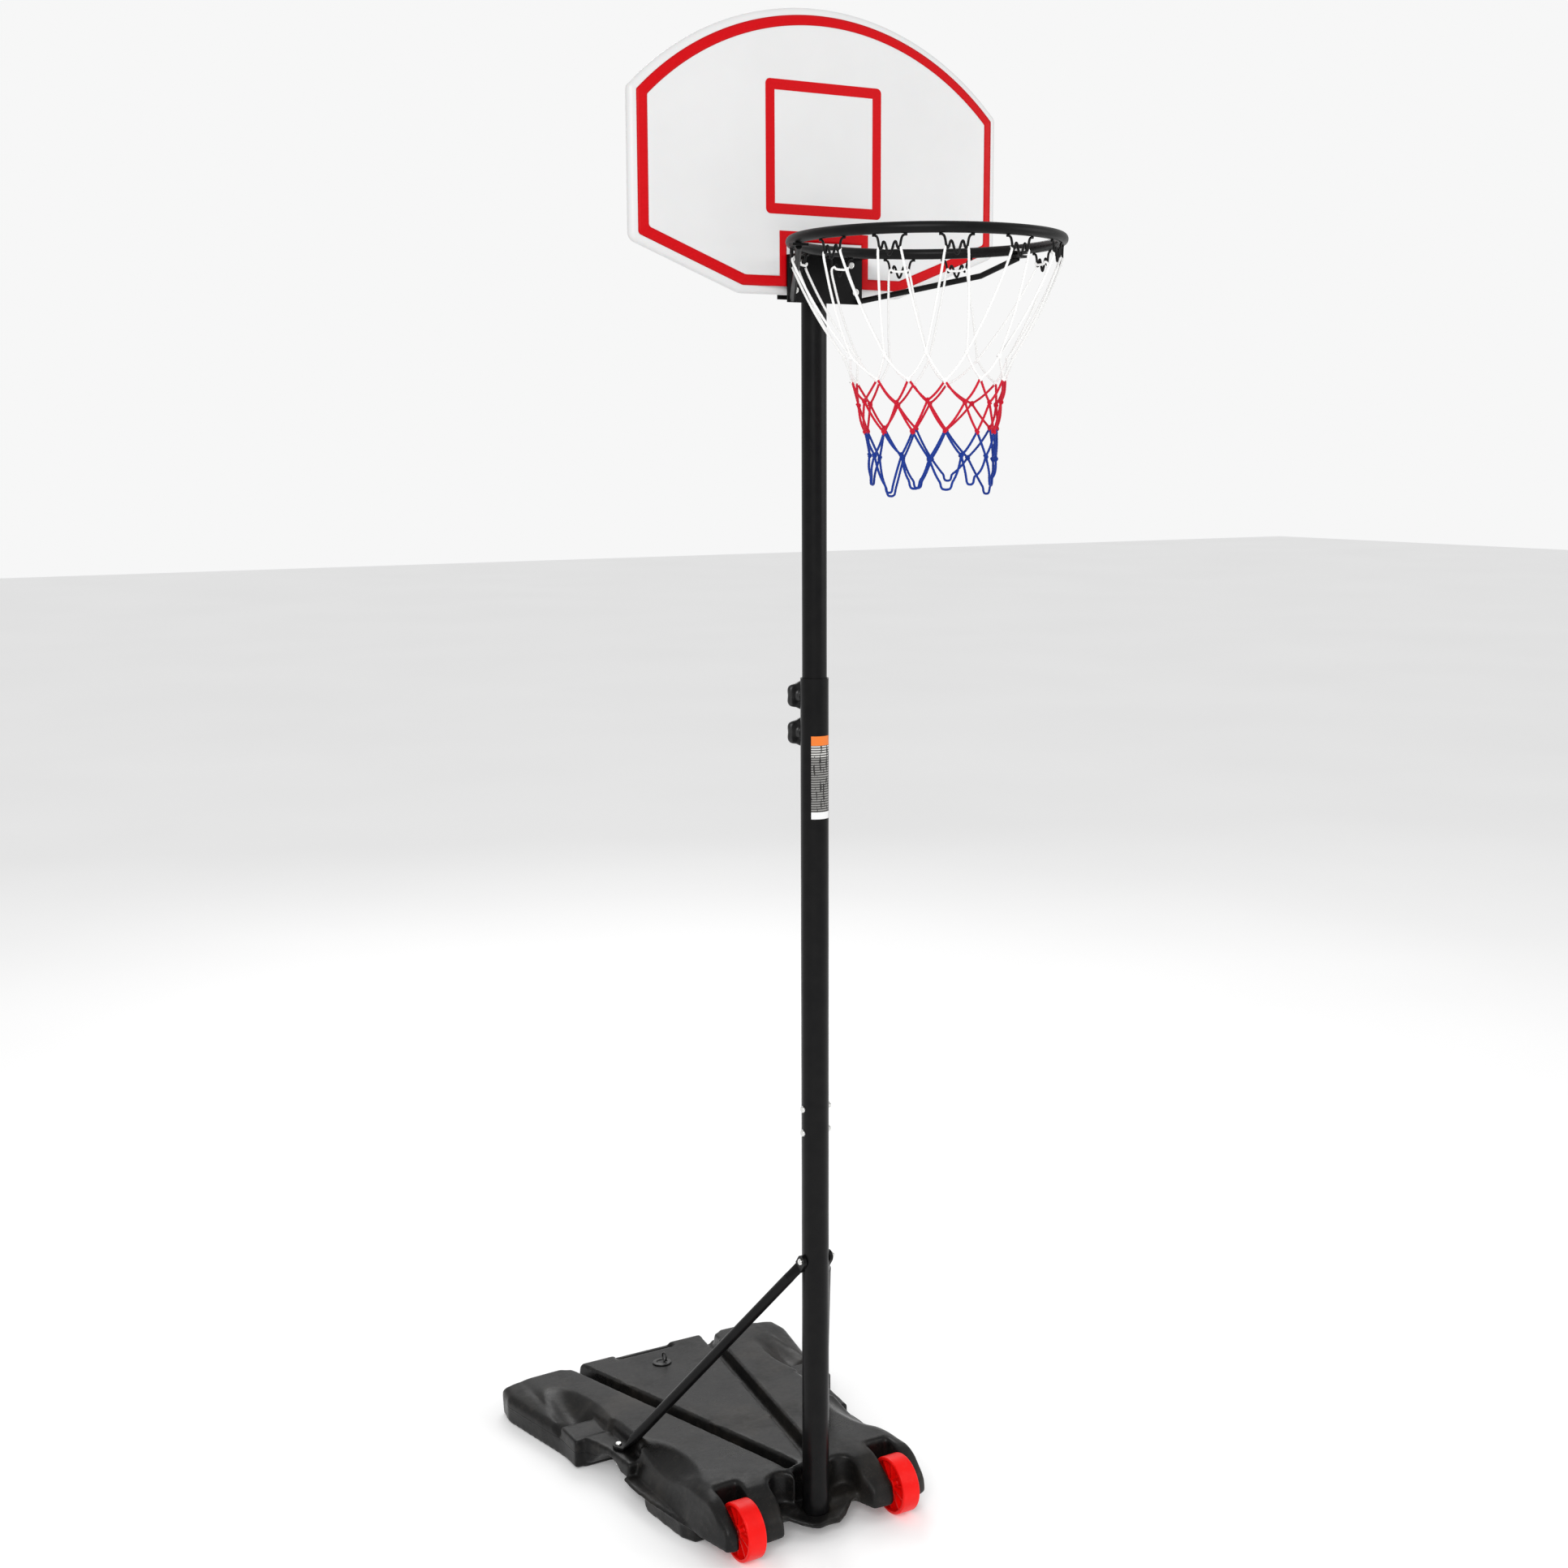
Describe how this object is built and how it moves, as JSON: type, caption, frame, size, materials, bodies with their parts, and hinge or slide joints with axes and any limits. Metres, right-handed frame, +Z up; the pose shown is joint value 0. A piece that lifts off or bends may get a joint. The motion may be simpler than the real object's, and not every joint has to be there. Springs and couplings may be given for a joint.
{
  "type": "portable basketball hoop",
  "caption": "Portable youth basketball hoop: wheeled water-filled wedge base, braced telescopic pole, white backboard with red markings, black ring and a white, red and blue net.",
  "frame": {"origin": "on the floor, under the middle of the whole object's bounding box", "axes": "+X to the right along the backboard seen from behind the pole, -Y towards the hoop and the player, +Z up"},
  "size_m": [0.674, 1.2254, 2.565],
  "materials": {
    "tank_plastic": "matte, lightly mottled",
    "black_plastic": "satin",
    "wheel_red": "satin",
    "board_white": "satin",
    "print_red": "printed, satin",
    "pole_paint": "semi-gloss black",
    "rim_paint": "satin black",
    "bolt_black": "satin black",
    "zinc": "bright zinc",
    "label_print": "printed film",
    "cord_white": "twisted cord",
    "cord_red": "twisted cord",
    "cord_blue": "twisted cord"
  },
  "bodies": {
    "base": {"base_tank": "tank_plastic", "wheel_axle_left": "zinc", "wheel_axle_right": "zinc", "pole_bottom": "pole_paint", "pole_middle": "pole_paint", "pole_seam_bolts": "bolt_black", "pole_seam_nuts": "zinc", "pole_label": "label_print", "strut_left": "pole_paint", "strut_right": "pole_paint", "strut_top_bolt": "zinc", "strut_top_nut": "zinc", "strut_foot_bolts": "zinc", "strut_foot_nuts": "zinc", "knob_weld_nuts": "pole_paint"},
    "head": {"pole_upper": "pole_paint", "pole_top_cap": "black_plastic", "backboard": "board_white", "border_stripe": "print_red", "target_square": "print_red", "pole_bracket": "pole_paint", "bracket_bolts": "zinc", "bracket_nuts": "zinc", "rim_plate": "rim_paint", "rim_ring": "rim_paint", "rim_brace_left": "rim_paint", "rim_brace_right": "rim_paint", "rim_bolts": "zinc", "rim_nuts": "zinc", "net_clips": "rim_paint", "net_white": "cord_white", "net_red": "cord_red", "net_blue": "cord_blue"},
    "wheel_left": {"wheel_left": "wheel_red"},
    "wheel_right": {"wheel_right": "wheel_red"},
    "knob_lower": {"height_knob_lower": "black_plastic"},
    "knob_upper": {"height_knob_upper": "black_plastic"},
    "stud_lower": {"height_knob_stud_lower": "zinc"},
    "stud_upper": {"height_knob_stud_upper": "zinc"},
    "plug": {"filler_plug": "black_plastic", "filler_pull_ring": "black_plastic"}
  },
  "joints": [
    {"name": "height_adjust", "type": "slide", "parent": "base", "child": "head", "axis": [0, 0, 1], "range_m": [-0.434, 0]},
    {"name": "wheel_left_spin", "type": "hinge", "parent": "base", "child": "wheel_left", "pos_m": [-0.157, -0.10825, 0.051], "axis": [1, 0, 0], "continuous": true},
    {"name": "wheel_right_spin", "type": "hinge", "parent": "base", "child": "wheel_right", "pos_m": [0.157, -0.10825, 0.051], "axis": [1, 0, 0], "continuous": true},
    {"name": "knob_lower_feed", "type": "slide", "parent": "base", "child": "stud_lower", "axis": [0, 1, 0], "range_m": [0, 0.0061]},
    {"name": "knob_lower_turn", "type": "hinge", "parent": "stud_lower", "child": "knob_lower", "pos_m": [0, -0.08725, 1.419], "axis": [0, 1, 0], "range_deg": [0, 1440]},
    {"name": "knob_upper_feed", "type": "slide", "parent": "base", "child": "stud_upper", "axis": [0, 1, 0], "range_m": [0, 0.0061]},
    {"name": "knob_upper_turn", "type": "hinge", "parent": "stud_upper", "child": "knob_upper", "pos_m": [0, -0.08725, 1.481], "axis": [0, 1, 0], "range_deg": [0, 1440]},
    {"name": "filler_plug_pull", "type": "slide", "parent": "base", "child": "plug", "axis": [0, 0.0732, 0.9973], "range_m": [0, 0.03]}
  ],
  "couplings": [
    {"joint": "knob_lower_feed", "follows": "knob_lower_turn", "m_per_rad": 0.00023873},
    {"joint": "knob_upper_feed", "follows": "knob_upper_turn", "m_per_rad": 0.00023873}
  ]
}
